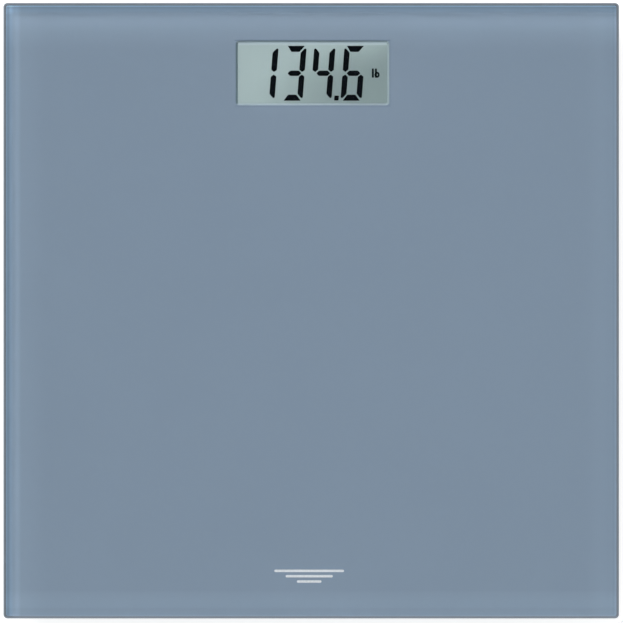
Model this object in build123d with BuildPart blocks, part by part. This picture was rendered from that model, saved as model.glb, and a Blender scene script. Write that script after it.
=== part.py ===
from build123d import *
import math
import os

# A square glass-platform digital scale. Millimetres, +Z up, +Y towards the display, +X to the
# user's right. The origin is the centre of the footprint, on the floor under the rubber pads.

# ---- platform ----
platform_side = 300.0
platform_corner = 2.0
overall_height = 23.0
glass_thickness = 6.0
arris = 1.0  # ground bevel round both faces of the glass
backing_thickness = 0.2
glass_bottom = overall_height - glass_thickness
backing_bottom = glass_bottom - backing_thickness
tape_thickness = 0.5
tape_bottom = backing_bottom - tape_thickness

# ---- display window and liquid crystal stack ----
window_width = 75.0
window_depth = 31.5
window_radius = 1.8
window_x = 0.6  # the window sits a little to the right of the middle
window_y = 116.0
bezel_slope = 1.0
bezel_border = 1.5
bezel_height = 0.8
bezel_bottom = backing_bottom - bezel_height
lcd_half_width = 39.5
lcd_back = 135.25
lcd_front = 95.75
lcd_ledge = 3.0  # the front glass overhangs the rear glass by this, for its contacts
polariser_margin = 1.5
polariser_thickness = 0.2
lcd_glass_thickness = 1.1
reflector_thickness = 0.4
polariser_bottom = bezel_bottom - polariser_thickness
front_glass_bottom = polariser_bottom - lcd_glass_thickness
rear_glass_bottom = front_glass_bottom - lcd_glass_thickness
reflector_bottom = rear_glass_bottom - reflector_thickness

# ---- display tray ----
tray_width = 96.0
tray_front = 58.0
tray_back = 140.0
tray_depth = tray_back - tray_front
tray_y = (tray_front + tray_back) / 2
tray_wall = 2.0
tray_radius = 3.0
tray_edge = 1.2
tray_bottom = 3.0
floor_top = 4.8
rim_top = tape_bottom
tape_inset = 0.3
bay_tape_width = 48.0
bay_tape_depth = 22.0

# ---- circuit board and what it carries ----
pcb_half_width = 45.5
pcb_front = 90.2
pcb_back = 137.7
pcb_bottom = 10.8
pcb_top = 12.0
pcb_corner = 1.0
screw_points = [(-43.3, 100.0), (43.3, 100.0), (-43.3, 132.0), (43.3, 132.0)]
screw_radius = 1.1
screw_head_radius = 2.1
screw_head_height = 1.4
screw_head_edge = 0.5
cross_length = 2.6
cross_width = 0.5
cross_depth = 0.8
screw_tip = 6.2
pilot_spare = 0.4
pilot_radius = 1.15
clearance_radius = 1.3
post_radius = 3.0
holder_half_width = 41.1
holder_front = 94.2
holder_back = 136.9
holder_rim = 15.6
holder_wall = 1.5
ear_reach = 1.4  # centre of a screw ear beyond the side of the holder
ear_width = 5.8
ear_depth = 6.0
ear_top = 14.0
zebra_half_length = 35.0
zebra_front = 96.1
zebra_depth = 2.0
slot_gap = 0.1
blob_radius = 5.5
blob_height = 1.4
blob_edge = 1.3
blob_point = (-8.0, 114.0)

# ---- unit button ----
button_point = (30.0, 108.0)
button_radius = 3.5
button_edge = 0.5
button_hole_radius = 3.8
button_face = 3.3
flange_radius = 5.0
flange_bottom = 4.9
flange_top = 5.9
guide_radius = 5.3
guide_wall = 1.2
guide_top = 6.8
plunger_bottom = 6.5
plunger_radius = 1.7
plunger_length = 1.2
plunger_play = 0.1
switch_bottom = 7.3
switch_side = 6.0
switch_hole_depth = 1.3

# ---- battery bay, two AAA cells side by side ----
cell_radius = 5.25
cell_length = 44.5
nub_radius = 1.9
nub_length = 1.0
cell_edge = 0.5
cell_play = 0.05
cell_z = 9.95
cell_rows = (70.25, 81.75)
bay_half_length = 26.0
bay_front = 60.0
bay_back = 88.0
bay_wall = 1.6
bay_ceiling = 15.3
cell_rib_y = 64.4
cell_rib_width = 1.0
cell_rib_bottom = 9.4
contact_face = 25.5
contact_thickness = 0.4
contact_bottom = 5.4
contact_top = 13.6
contact_width = 9.0
tab_width = 3.0
tab_slot_side_play = 0.2
tab_slot_height = 0.8
spring_wire_radius = 0.3
spring_radius = 2.2
spring_turns = 3
spring_cone_angle = 16
plate_tab_end = 33.2
spring_tab_end = 30.8

# ---- battery door ----
door_bottom = tray_bottom
door_top = 4.4
door_half_width = 25.5
door_gap = 0.3
opening_half_width = door_half_width + door_gap
hinge_y = 91.5
hinge_z = 4.4
barrel_radius = 1.4
pin_radius = 1.0
pin_hole_radius = 1.075
pin_reach = 27.4
pin_end_play = 0.2
hinge_gap = 1.9
hinge_boss_width = 2.6
hinge_boss_depth = 5.0
hinge_boss_height = 1.8
latch_half_width = 8.0
latch_wall = 0.8
latch_outer_y = 60.85
latch_inner_y = 63.0
latch_bend_z = 7.0
latch_side_gap = 0.5
ridge_z = 5.8
ridge_radius = 0.25
notch_height = 2.2
stop_x = 24.0
stop_width = 4.0
stop_depth = 1.5
stop_height = 3.5
stop_play = 0.1
groove_count = 4
groove_pitch = 2.4
groove_y = 69.0
groove_length = 22.0
groove_width = 1.0
groove_depth = 0.4

# ---- feet ----
foot_offset = 110.0
housing_radius = 29.0
housing_wall = 2.0
housing_bottom = 5.0
housing_top = tape_bottom
housing_roof = 14.3
housing_edge = 0.8
pad_radius = 21.0
pad_thickness = 2.0
pad_edge = 0.4
pad_seat_play = 0.2
pad_groove_radii = (7.0, 14.0)
pad_groove_width = 1.5
pad_groove_depth = 0.6
cap_radius = 25.0
cap_bottom = 1.2
cap_plate_top = 3.6
cap_edge = 0.9
cap_rib = 1.2
skirt_radius = 23.0
skirt_top = 6.2
boss_radius = 4.0
hook_count = 3
hook_start = 60
hook_width = 5.0
hook_inner = 23.4
hook_outer = 24.8
barb_outer = 26.0
barb_bottom = 8.5
barb_top = 9.9
barb_lead_in = 0.5
tab_inner = 25.4
tab_spare_width = 3.0
tab_bottom = 7.0
tab_top = 8.4
plate_side = 34.0
plate_corner = 4.0
plate_thickness = 1.2
plate_bottom = 9.6
plate_window = 24.0
neck_x = 8.0
neck_length = 9.0
neck_width = 10.0
tongue_x = -1.0
tongue_length = 12.0
tongue_width = 17.0
tongue_corner = 1.5
lip_length = 20.0
lip_top = 12.8
peg_y = 14.1
peg_radius = 1.2
peg_play = 0.05
peg_head_overhang = 1.0
peg_head_height = 0.8
clamp_rib_length = 22.0
clamp_rib_width = 2.5
sealant_x = 8.5
sealant_length = 6.0
sealant_width = 8.4
sealant_top = 12.0
sealant_edge = 0.1
port_width = 6.0
port_height = 1.8
foot_tape_hole_radius = 12.0

# ---- wiring ----
lead_radius = 0.45
lead_pitch = 1.6
lead_z = 13.6
lead_start_z = 11.4
lead_climb = [(11.5, lead_start_z), (16.0, lead_start_z), (21.5, lead_z)]
climb_bends = [10.0, 13.0]
turn_bend = 18.0
pad_bend = 1.0
channel_width = 10.0
channel_wall = 1.2
channel_edge = 0.6
channel_bottom = 11.8
channel_overrun = 5.0
front_port_x = 38.0
front_port_shift = 1.2  # the leads still run outwards where they pass the wall
front_port_width = 9.0
front_turn_y = 62.0
front_pad_y = 92.0
side_pad_x = 43.4
battery_lead_radius = 0.6
battery_lead_bend = 1.2
battery_lead_inset = 0.9
battery_lead_start = 1.0

os.makedirs("parts", exist_ok=True)


def finish(piece, name):
    piece.part.label = name
    export_step(piece.part, f"parts/{name}.step")


# ================================================================ platform
with BuildPart() as platform_glass:
    with BuildSketch(Plane.XY.offset(glass_bottom)):
        RectangleRounded(platform_side, platform_side, platform_corner)
    extrude(amount=glass_thickness)
    faces_by_height = platform_glass.faces().sort_by(Axis.Z)
    chamfer(faces_by_height[0].edges() + faces_by_height[-1].edges(), arris)
finish(platform_glass, "platform_glass")

# the colour is a coat on the underside of the glass, left open behind the display
with BuildPart() as colour_backing:
    with BuildSketch(Plane.XY.offset(backing_bottom)):
        coat_side = platform_side - 2 * arris
        RectangleRounded(coat_side, coat_side, platform_corner - arris)
        with Locations((window_x, window_y)):
            RectangleRounded(window_width, window_depth, window_radius, mode=Mode.SUBTRACT)
    extrude(amount=backing_thickness)
finish(colour_backing, "colour_backing")

# ================================================================ display stack
bezel_width = window_width + 2 * bezel_border
bezel_depth = window_depth + 2 * bezel_border
with BuildPart() as window_bezel:
    with BuildSketch(Plane.XY.offset(bezel_bottom)):
        with Locations((window_x, window_y)):
            RectangleRounded(bezel_width, bezel_depth, window_radius + bezel_border)
    extrude(amount=bezel_height)
    with BuildSketch(Plane.XY.offset(bezel_bottom)):
        with Locations((window_x, window_y)):
            sight_width = window_width - 2 * bezel_slope
            sight_depth = window_depth - 2 * bezel_slope
            RectangleRounded(sight_width, sight_depth, window_radius - bezel_slope)
    with BuildSketch(Plane.XY.offset(backing_bottom)):
        with Locations((window_x, window_y)):
            RectangleRounded(window_width, window_depth, window_radius)
    loft(mode=Mode.SUBTRACT)
finish(window_bezel, "window_bezel")

polariser_half = window_width / 2 + polariser_margin
polariser_front = window_y - window_depth / 2 - polariser_margin
polariser_back = window_y + window_depth / 2 + polariser_margin
lcd_layers = {
    "lcd_front_polariser": (
        polariser_half, polariser_front, polariser_back, polariser_bottom, polariser_thickness
    ),
    "lcd_front_glass": (
        lcd_half_width, lcd_front, lcd_back, front_glass_bottom, lcd_glass_thickness
    ),
    "lcd_rear_glass": (
        lcd_half_width, lcd_front + lcd_ledge, lcd_back, rear_glass_bottom, lcd_glass_thickness
    ),
    "lcd_reflector": (
        polariser_half, polariser_front, polariser_back, reflector_bottom, reflector_thickness
    ),
}
for layer_name, (half_width, front, back, bottom, thickness) in lcd_layers.items():
    with BuildPart() as lcd_layer:
        with BuildSketch(Plane.XY.offset(bottom)):
            with Locations((0, (front + back) / 2)):
                Rectangle(2 * half_width, back - front)
        extrude(amount=thickness)
    finish(lcd_layer, layer_name)

with BuildPart() as zebra_strip:
    with BuildSketch(Plane.XY.offset(pcb_top)):
        with Locations((0, zebra_front + zebra_depth / 2)):
            Rectangle(2 * zebra_half_length, zebra_depth)
    extrude(amount=front_glass_bottom - pcb_top)
finish(zebra_strip, "zebra_strip")

# the holder locates the stack over the board and has a slot for the contact strip
with BuildPart() as lcd_holder:
    with BuildSketch(Plane.XY.offset(pcb_top)):
        with Locations((0, (holder_front + holder_back) / 2)):
            Rectangle(2 * holder_half_width, holder_back - holder_front)
    extrude(amount=holder_rim - pcb_top)
    with BuildSketch(Plane.XY.offset(pcb_top)):
        for ear_x, ear_y in screw_points:
            with Locations((math.copysign(holder_half_width + ear_reach, ear_x), ear_y)):
                Rectangle(ear_width, ear_depth)
    extrude(amount=ear_top - pcb_top)
    with BuildSketch(Plane.XY.offset(reflector_bottom)):
        with Locations((0, (lcd_front + lcd_back) / 2)):
            pocket_width = 2 * (holder_half_width - holder_wall)
            Rectangle(pocket_width, lcd_back - lcd_front + 2 * slot_gap)
    extrude(amount=holder_rim - reflector_bottom, mode=Mode.SUBTRACT)
    with BuildSketch(Plane.XY.offset(pcb_top)):
        with Locations(*screw_points):
            Circle(clearance_radius)
        with Locations((0, zebra_front + zebra_depth / 2)):
            Rectangle(2 * (zebra_half_length + slot_gap), zebra_depth + 2 * slot_gap)
    extrude(amount=ear_top - pcb_top, mode=Mode.SUBTRACT)
finish(lcd_holder, "lcd_holder")

# ================================================================ circuit board
with BuildPart() as main_pcb:
    with BuildSketch(Plane.XY.offset(pcb_bottom)):
        with Locations((0, (pcb_front + pcb_back) / 2)):
            RectangleRounded(2 * pcb_half_width, pcb_back - pcb_front, pcb_corner)
        with Locations(*screw_points):
            Circle(clearance_radius, mode=Mode.SUBTRACT)
    extrude(amount=pcb_top - pcb_bottom)
finish(main_pcb, "main_pcb")

# epoxy dome over the bonded chip, under the board
with BuildPart() as chip_blob:
    with BuildSketch(Plane.XY.offset(pcb_bottom)):
        with Locations(blob_point):
            Circle(blob_radius)
    extrude(amount=-blob_height)
    fillet(chip_blob.edges().group_by(Axis.Z)[0], blob_edge)
finish(chip_blob, "chip_blob")

with BuildPart() as display_screws:
    with BuildSketch(Plane.XY.offset(screw_tip)):
        with Locations(*screw_points):
            Circle(screw_radius)
    extrude(amount=ear_top - screw_tip)
    with BuildSketch(Plane.XY.offset(ear_top)):
        with Locations(*screw_points):
            Circle(screw_head_radius)
    extrude(amount=screw_head_height)
    fillet(display_screws.edges().group_by(Axis.Z)[-1], screw_head_edge)
    with BuildSketch(Plane.XY.offset(ear_top + screw_head_height)):
        with Locations(*screw_points):
            Rectangle(cross_length, cross_width)
            Rectangle(cross_width, cross_length)
    extrude(amount=-cross_depth, mode=Mode.SUBTRACT)
finish(display_screws, "display_screws")

# ================================================================ unit button and its switch
with BuildPart() as tact_switch:
    with BuildSketch(Plane.XY.offset(switch_bottom)):
        with Locations(button_point):
            Rectangle(switch_side, switch_side)
    extrude(amount=pcb_bottom - switch_bottom)
    with BuildSketch(Plane.XY.offset(switch_bottom)):
        with Locations(button_point):
            Circle(plunger_radius + plunger_play)
    extrude(amount=switch_hole_depth, mode=Mode.SUBTRACT)
finish(tact_switch, "tact_switch")

with BuildPart() as switch_plunger:
    with BuildSketch(Plane.XY.offset(plunger_bottom)):
        with Locations(button_point):
            Circle(plunger_radius)
    extrude(amount=plunger_length)
finish(switch_plunger, "switch_plunger")

with BuildPart() as unit_button:
    with BuildSketch(Plane.XY.offset(button_face)):
        with Locations(button_point):
            Circle(button_radius)
    extrude(amount=flange_bottom - button_face)
    fillet(unit_button.faces().sort_by(Axis.Z)[0].edges(), button_edge)
    with BuildSketch(Plane.XY.offset(flange_bottom)):
        with Locations(button_point):
            Circle(flange_radius)
    extrude(amount=flange_top - flange_bottom)
    with BuildSketch(Plane.XY.offset(flange_top)):
        with Locations(button_point):
            Circle(plunger_radius)
    extrude(amount=plunger_bottom - flange_top)
finish(unit_button, "unit_button")

# ================================================================ display tray
with BuildPart() as display_tray:
    with BuildSketch(Plane.XY.offset(tray_bottom)):
        with Locations((0, tray_y)):
            RectangleRounded(tray_width, tray_depth, tray_radius)
    extrude(amount=rim_top - tray_bottom)
    fillet(display_tray.faces().sort_by(Axis.Z)[0].edges(), tray_edge)
    with BuildSketch(Plane.XY.offset(floor_top)):
        with Locations((0, tray_y)):
            inner_width = tray_width - 2 * tray_wall
            RectangleRounded(inner_width, tray_depth - 2 * tray_wall, tray_radius - tray_wall)
    extrude(amount=rim_top - floor_top, mode=Mode.SUBTRACT)
    # closed box of the battery bay, then its hollow
    with BuildSketch(Plane.XY.offset(floor_top)):
        with Locations((0, (bay_front + bay_back + bay_wall) / 2)):
            Rectangle(2 * (bay_half_length + bay_wall), bay_back + bay_wall - bay_front)
    extrude(amount=rim_top - floor_top)
    with BuildSketch(Plane.XY.offset(floor_top)):
        with Locations((0, (bay_front + bay_back) / 2)):
            Rectangle(2 * bay_half_length, bay_back - bay_front)
    extrude(amount=bay_ceiling - floor_top, mode=Mode.SUBTRACT)
    # hinge bosses beside the barrel, posts under the board, guide ring round the button
    with BuildSketch(Plane.XY.offset(floor_top)):
        hinge_boss_x = opening_half_width + hinge_boss_width / 2
        with Locations((-hinge_boss_x, hinge_y), (hinge_boss_x, hinge_y)):
            Rectangle(hinge_boss_width, hinge_boss_depth)
    extrude(amount=hinge_boss_height)
    with BuildSketch(Plane.XY.offset(floor_top)):
        with Locations(*screw_points):
            Circle(post_radius)
    extrude(amount=pcb_bottom - floor_top)
    with BuildSketch(Plane.XY.offset(floor_top)):
        with Locations(button_point):
            Circle(guide_radius + guide_wall)
            Circle(guide_radius, mode=Mode.SUBTRACT)
    extrude(amount=guide_top - floor_top)
    # stops for the door, and a rib that locates the front cell
    with BuildSketch(Plane.XY.offset(door_top + stop_play)):
        stop_y = bay_front + stop_depth / 2
        with Locations((-stop_x, stop_y), (stop_x, stop_y)):
            Rectangle(stop_width, stop_depth)
    extrude(amount=stop_height)
    with BuildSketch(Plane.XY.offset(cell_rib_bottom)):
        with Locations((0, cell_rib_y)):
            Rectangle(2 * bay_half_length, cell_rib_width)
    extrude(amount=bay_ceiling - cell_rib_bottom)
    # openings: door, button, screw pilots, finger notch
    with BuildSketch(Plane.XY.offset(tray_bottom)):
        opening_back = hinge_y + hinge_gap
        with Locations((0, (bay_front + opening_back) / 2)):
            Rectangle(2 * opening_half_width, opening_back - bay_front)
        with Locations(button_point):
            Circle(button_hole_radius)
    extrude(amount=floor_top - tray_bottom, mode=Mode.SUBTRACT)
    with BuildSketch(Plane.XY.offset(pcb_bottom)):
        with Locations(*screw_points):
            Circle(pilot_radius)
    extrude(amount=screw_tip - pilot_spare - pcb_bottom, mode=Mode.SUBTRACT)
    with BuildSketch(Plane.XY.offset(tray_bottom)):
        with Locations((0, (tray_front + bay_front) / 2)):
            Rectangle(2 * (latch_half_width + latch_side_gap), tray_wall)
    extrude(amount=notch_height, mode=Mode.SUBTRACT)
    # blind holes for the hinge pins
    for side in (-1, 1):
        with BuildSketch(Plane.YZ.offset(side * opening_half_width)):
            with Locations((hinge_y, hinge_z)):
                Circle(pin_hole_radius)
        extrude(amount=side * (pin_reach + pin_end_play - opening_half_width), mode=Mode.SUBTRACT)
    # slots for the contact tabs in the +X end wall, ports for the leads
    with BuildSketch(Plane.XY.offset(contact_top - (tab_slot_height + contact_thickness) / 2)):
        with Locations(*[(bay_half_length + bay_wall / 2, row) for row in cell_rows]):
            Rectangle(bay_wall, tab_width + 2 * tab_slot_side_play)
    extrude(amount=tab_slot_height, mode=Mode.SUBTRACT)
    with BuildSketch(Plane.XY.offset(channel_bottom + channel_wall)):
        for side in (-1, 1):
            with Locations((side * (tray_width - tray_wall) / 2, foot_offset)):
                Rectangle(tray_wall, port_width)
            with Locations((side * (front_port_x + front_port_shift), tray_front + tray_wall / 2)):
                Rectangle(front_port_width, tray_wall)
    extrude(amount=port_height, mode=Mode.SUBTRACT)
finish(display_tray, "display_tray")

with BuildPart() as tray_tape:
    with BuildSketch(Plane.XY.offset(tape_bottom)):
        with Locations((0, tray_y)):
            tape_width = tray_width - 2 * tape_inset
            tape_depth = tray_depth - 2 * tape_inset
            strip = tray_wall - 2 * tape_inset
            RectangleRounded(tape_width, tape_depth, tray_radius - tape_inset)
            Rectangle(tape_width - 2 * strip, tape_depth - 2 * strip, mode=Mode.SUBTRACT)
        with Locations((0, (bay_front + bay_back) / 2)):
            Rectangle(bay_tape_width, bay_tape_depth)
    extrude(amount=tape_thickness)
finish(tray_tape, "tray_tape")

# ================================================================ batteries and contacts
for cell_name, row, nub_side in (
    ("battery_front", cell_rows[0], 1),
    ("battery_rear", cell_rows[1], -1),
):
    with BuildPart() as battery:
        tip = contact_face - cell_play
        with BuildSketch(Plane.YZ.offset(nub_side * (tip - cell_length))):
            with Locations((row, cell_z)):
                Circle(cell_radius)
        extrude(amount=nub_side * (cell_length - nub_length))
        fillet(battery.edges().filter_by(GeomType.CIRCLE), cell_edge)
        with BuildSketch(Plane.YZ.offset(nub_side * (tip - nub_length))):
            with Locations((row, cell_z)):
                Circle(nub_radius)
        extrude(amount=nub_side * nub_length)
    finish(battery, cell_name)


def contact_sheet(side, row, width):
    """Upright contact plate against the end wall of the bay."""
    with BuildSketch(Plane.YZ.offset(side * contact_face)) as outline:
        with Locations((row, (contact_bottom + contact_top) / 2)):
            Rectangle(width, contact_top - contact_bottom)
    extrude(outline.sketch, amount=side * contact_thickness)


def contact_spring(side, row):
    """Conical coil from the contact plate to the flat end of a cell."""
    cell_end = cell_length - contact_face + cell_play
    reach = contact_face - cell_end - 2 * spring_wire_radius - cell_play
    coil_start = cell_end + spring_wire_radius + cell_play
    with BuildLine() as path:
        coil = Helix(
            pitch=reach / spring_turns,
            height=reach,
            radius=spring_radius,
            center=(side * coil_start, row, cell_z),
            direction=(side, 0, 0),
            cone_angle=spring_cone_angle,
        )
    with BuildSketch(Plane(origin=coil @ 0, z_dir=coil % 0)) as wire:
        Circle(spring_wire_radius)
    sweep(wire.sketch, path=path.line, is_frenet=True)


def contact_tab(row, end):
    """Solder tab that passes out through the end wall."""
    with BuildSketch(Plane.XY.offset(contact_top - contact_thickness)) as outline:
        with Locations(((contact_face + end) / 2, row)):
            Rectangle(end - contact_face, tab_width)
    extrude(outline.sketch, amount=contact_thickness)


with BuildPart() as battery_plate_contact:
    contact_sheet(1, cell_rows[0], contact_width)
    contact_tab(cell_rows[0], plate_tab_end)
finish(battery_plate_contact, "battery_plate_contact")

with BuildPart() as battery_spring_contact:
    contact_sheet(1, cell_rows[1], contact_width)
    contact_tab(cell_rows[1], spring_tab_end)
    contact_spring(1, cell_rows[1])
finish(battery_spring_contact, "battery_spring_contact")

with BuildPart() as battery_bridge_contact:
    bridge_width = cell_rows[1] - cell_rows[0] + contact_width
    contact_sheet(-1, sum(cell_rows) / 2, bridge_width)
    contact_spring(-1, cell_rows[0])
finish(battery_bridge_contact, "battery_bridge_contact")

# ================================================================ battery door
with BuildPart() as battery_door:
    door_front = bay_front + door_gap
    with BuildSketch(Plane.XY.offset(door_bottom)):
        with Locations((0, (door_front + hinge_y) / 2)):
            Rectangle(2 * door_half_width, hinge_y - door_front)
        notch_back = latch_inner_y - latch_wall / 2
        with Locations((0, (door_front + notch_back) / 2)):
            notch_width = 2 * (latch_half_width + latch_side_gap)
            Rectangle(notch_width, notch_back - door_front, mode=Mode.SUBTRACT)
    extrude(amount=door_top - door_bottom)
    with BuildSketch(Plane.YZ.offset(-door_half_width)):
        with Locations((hinge_y, hinge_z)):
            Circle(barrel_radius)
    extrude(amount=2 * door_half_width)
    with BuildSketch(Plane.YZ.offset(-pin_reach)):
        with Locations((hinge_y, hinge_z)):
            Circle(pin_radius)
    extrude(amount=2 * pin_reach)
    # bent strip that latches the free edge, with a snap ridge on its outer leg
    with BuildSketch(Plane.YZ.offset(-latch_half_width)):
        with BuildLine():
            bend_top = latch_bend_z + (latch_inner_y - latch_outer_y) / 2
            middle_y = (latch_outer_y + latch_inner_y) / 2
            Line((latch_outer_y, door_bottom + 0.1), (latch_outer_y, latch_bend_z))
            ThreePointArc(
                (latch_outer_y, latch_bend_z), (middle_y, bend_top), (latch_inner_y, latch_bend_z)
            )
            Line((latch_inner_y, latch_bend_z), (latch_inner_y, door_bottom + 0.2))
        trace(line_width=latch_wall)
        ridge_y = latch_outer_y - latch_wall / 2
        with Locations((ridge_y, ridge_z)):
            Circle(ridge_radius)
    extrude(amount=2 * latch_half_width)
    # finger grooves across the outside of the door
    with BuildSketch(Plane.XY.offset(door_bottom)):
        with GridLocations(0, groove_pitch, 1, groove_count):
            with Locations((0, groove_y)):
                SlotOverall(groove_length, groove_width)
    extrude(amount=groove_depth, mode=Mode.SUBTRACT)
finish(battery_door, "battery_door")

# ================================================================ feet
foot_places = {
    "front_left": (-foot_offset, -foot_offset),
    "front_right": (foot_offset, -foot_offset),
    "rear_left": (-foot_offset, foot_offset),
    "rear_right": (foot_offset, foot_offset),
}
foot_planes = {}
for place, (foot_x, foot_y) in foot_places.items():
    if foot_y < 0:
        towards = Vector(math.copysign(front_port_x, foot_x) - foot_x, front_turn_y - foot_y, 0)
    else:
        towards = Vector(-foot_x, 0, 0)
    # the plane's own x runs out of the foot along its leads
    foot_planes[place] = Plane(origin=(foot_x, foot_y, 0), x_dir=towards, z_dir=(0, 0, 1))

for place, foot in foot_planes.items():
    with BuildPart() as foot_housing:
        with BuildSketch(foot.offset(housing_bottom)):
            Circle(housing_radius)
        extrude(amount=housing_top - housing_bottom)
        fillet(foot_housing.faces().sort_by(Axis.Z)[0].edges(), housing_edge)
        with BuildSketch(foot.offset(housing_bottom)):
            Circle(housing_radius - housing_wall)
        extrude(amount=housing_roof - housing_bottom, mode=Mode.SUBTRACT)
        # ledges that hold the hooks of the cap
        with BuildSketch(foot.offset(tab_bottom)):
            tab_outer = housing_radius - housing_wall / 2
            with PolarLocations((tab_inner + tab_outer) / 2, hook_count, start_angle=hook_start):
                Rectangle(tab_outer - tab_inner, hook_width + tab_spare_width)
        extrude(amount=tab_top - tab_bottom)
        # ribs and staked pegs that hold the load cell
        with BuildSketch(foot.offset(plate_bottom + plate_thickness)):
            with Locations((0, -peg_y), (0, peg_y)):
                Rectangle(clamp_rib_length, clamp_rib_width)
        extrude(amount=housing_roof - plate_bottom - plate_thickness)
        with BuildSketch(foot.offset(plate_bottom)):
            with Locations((0, -peg_y), (0, peg_y)):
                Circle(peg_radius)
        extrude(amount=plate_thickness)
        with BuildSketch(foot.offset(plate_bottom - peg_head_height)):
            with Locations((0, -peg_y), (0, peg_y)):
                Circle(peg_radius + peg_head_overhang)
        extrude(amount=peg_head_height)
        # port for the leads
        with BuildSketch(foot.offset(channel_bottom + channel_wall)):
            with Locations((housing_radius - housing_wall / 2, 0)):
                Rectangle(2 * housing_wall, port_width)
        extrude(amount=housing_roof - channel_bottom - channel_wall, mode=Mode.SUBTRACT)
    finish(foot_housing, f"foot_housing_{place}")

    with BuildPart() as load_cell:
        with BuildSketch(foot.offset(plate_bottom)):
            RectangleRounded(plate_side, plate_side, plate_corner)
            Rectangle(plate_window, plate_window, mode=Mode.SUBTRACT)
            with Locations((neck_x, 0)):
                Rectangle(neck_length, neck_width)
            with Locations((tongue_x, 0)):
                RectangleRounded(tongue_length, tongue_width, tongue_corner)
            with Locations((0, -peg_y), (0, peg_y)):
                Circle(peg_radius + peg_play, mode=Mode.SUBTRACT)
        extrude(amount=plate_thickness)
        with BuildSketch(foot.offset(plate_bottom)):
            lip_y = (plate_side - plate_thickness) / 2
            with Locations((0, -lip_y), (0, lip_y)):
                Rectangle(lip_length, plate_thickness)
        extrude(amount=lip_top - plate_bottom)
    finish(load_cell, f"load_cell_{place}")

    with BuildPart() as foot_cap:
        with BuildSketch(foot.offset(cap_bottom)):
            Circle(cap_radius)
        extrude(amount=skirt_top - cap_bottom)
        fillet(foot_cap.faces().sort_by(Axis.Z)[0].edges(), cap_edge)
        with BuildSketch(foot.offset(cap_plate_top)):
            Circle(skirt_radius)
        extrude(amount=skirt_top - cap_plate_top, mode=Mode.SUBTRACT)
        with BuildSketch(foot.offset(cap_bottom)):
            Circle(pad_radius + pad_seat_play)
        extrude(amount=pad_thickness - cap_bottom, mode=Mode.SUBTRACT)
        with BuildSketch(foot.offset(cap_plate_top)):
            Circle(boss_radius)
        extrude(amount=plate_bottom - cap_plate_top)
        with BuildSketch(foot.offset(cap_plate_top)):
            Rectangle(skirt_radius + cap_radius, cap_rib)
            Rectangle(cap_rib, skirt_radius + cap_radius)
        extrude(amount=skirt_top - cap_plate_top)
        with BuildSketch(foot.offset(cap_plate_top)):
            with PolarLocations((hook_inner + hook_outer) / 2, hook_count, start_angle=hook_start):
                Rectangle(hook_outer - hook_inner, hook_width)
        extrude(amount=barb_top - cap_plate_top)
        with BuildSketch(foot.offset(barb_bottom)):
            with PolarLocations((hook_inner + barb_outer) / 2, hook_count, start_angle=hook_start):
                Rectangle(barb_outer - hook_inner, hook_width)
        extrude(amount=barb_top - barb_bottom)
        chamfer(foot_cap.edges().group_by(Axis.Z)[-1], barb_lead_in)
    finish(foot_cap, f"foot_cap_{place}")

    with BuildPart() as foot_pad:
        with BuildSketch(foot):
            Circle(pad_radius)
        extrude(amount=pad_thickness)
        fillet(foot_pad.faces().sort_by(Axis.Z)[0].edges(), pad_edge)
        with BuildSketch(foot):
            for groove_radius in pad_groove_radii:
                Circle(groove_radius + pad_groove_width / 2)
                Circle(groove_radius - pad_groove_width / 2, mode=Mode.SUBTRACT)
        extrude(amount=pad_groove_depth, mode=Mode.SUBTRACT)
    finish(foot_pad, f"foot_pad_{place}")

    # open-topped channel from the foot to the tray, with its mouth against the colour coat
    with BuildPart() as wire_channel:
        # the tray's own outline trims the far end
        reach = math.dist((foot_offset, -foot_offset), (front_port_x, front_turn_y))
        if foot.origin.Y > 0:
            reach = foot_offset - tray_width / 2
        length = reach + channel_overrun
        with BuildSketch(foot.offset(channel_bottom)):
            with Locations((length / 2, 0)):
                Rectangle(length, channel_width)
        extrude(amount=backing_bottom - channel_bottom)
        chamfer(wire_channel.faces().sort_by(Axis.Z)[0].edges(), channel_edge)
        with BuildSketch(foot.offset(channel_bottom + channel_wall)):
            with Locations((length / 2, 0)):
                Rectangle(length + 2 * channel_wall, channel_width - 2 * channel_wall)
        extrude(amount=backing_bottom - channel_bottom - channel_wall, mode=Mode.SUBTRACT)
        with BuildSketch(foot.offset(channel_bottom)):
            Circle(housing_radius + 0.2)
        extrude(amount=backing_bottom - channel_bottom, mode=Mode.SUBTRACT)
        with BuildSketch(Plane.XY.offset(channel_bottom)):
            with Locations((0, tray_y)):
                Rectangle(tray_width, tray_depth)
        extrude(amount=backing_bottom - channel_bottom, mode=Mode.SUBTRACT)
    finish(wire_channel, f"wire_channel_{place}")

with BuildPart() as foot_tapes:
    for foot in foot_planes.values():
        with BuildSketch(foot.offset(tape_bottom)):
            Circle(housing_radius - housing_wall / 2)
            Circle(foot_tape_hole_radius, mode=Mode.SUBTRACT)
        extrude(amount=tape_thickness)
finish(foot_tapes, "foot_tapes")

# silicone over the strain gauges, on the neck of each load cell
with BuildPart() as strain_gauges:
    for foot in foot_planes.values():
        with BuildSketch(foot.offset(plate_bottom + plate_thickness)):
            with Locations((sealant_x, 0)):
                Rectangle(sealant_length, sealant_width)
        extrude(amount=sealant_top - plate_bottom - plate_thickness)
    fillet(strain_gauges.edges().group_by(Axis.Z)[-1], sealant_edge)
finish(strain_gauges, "strain_gauges")


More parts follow.
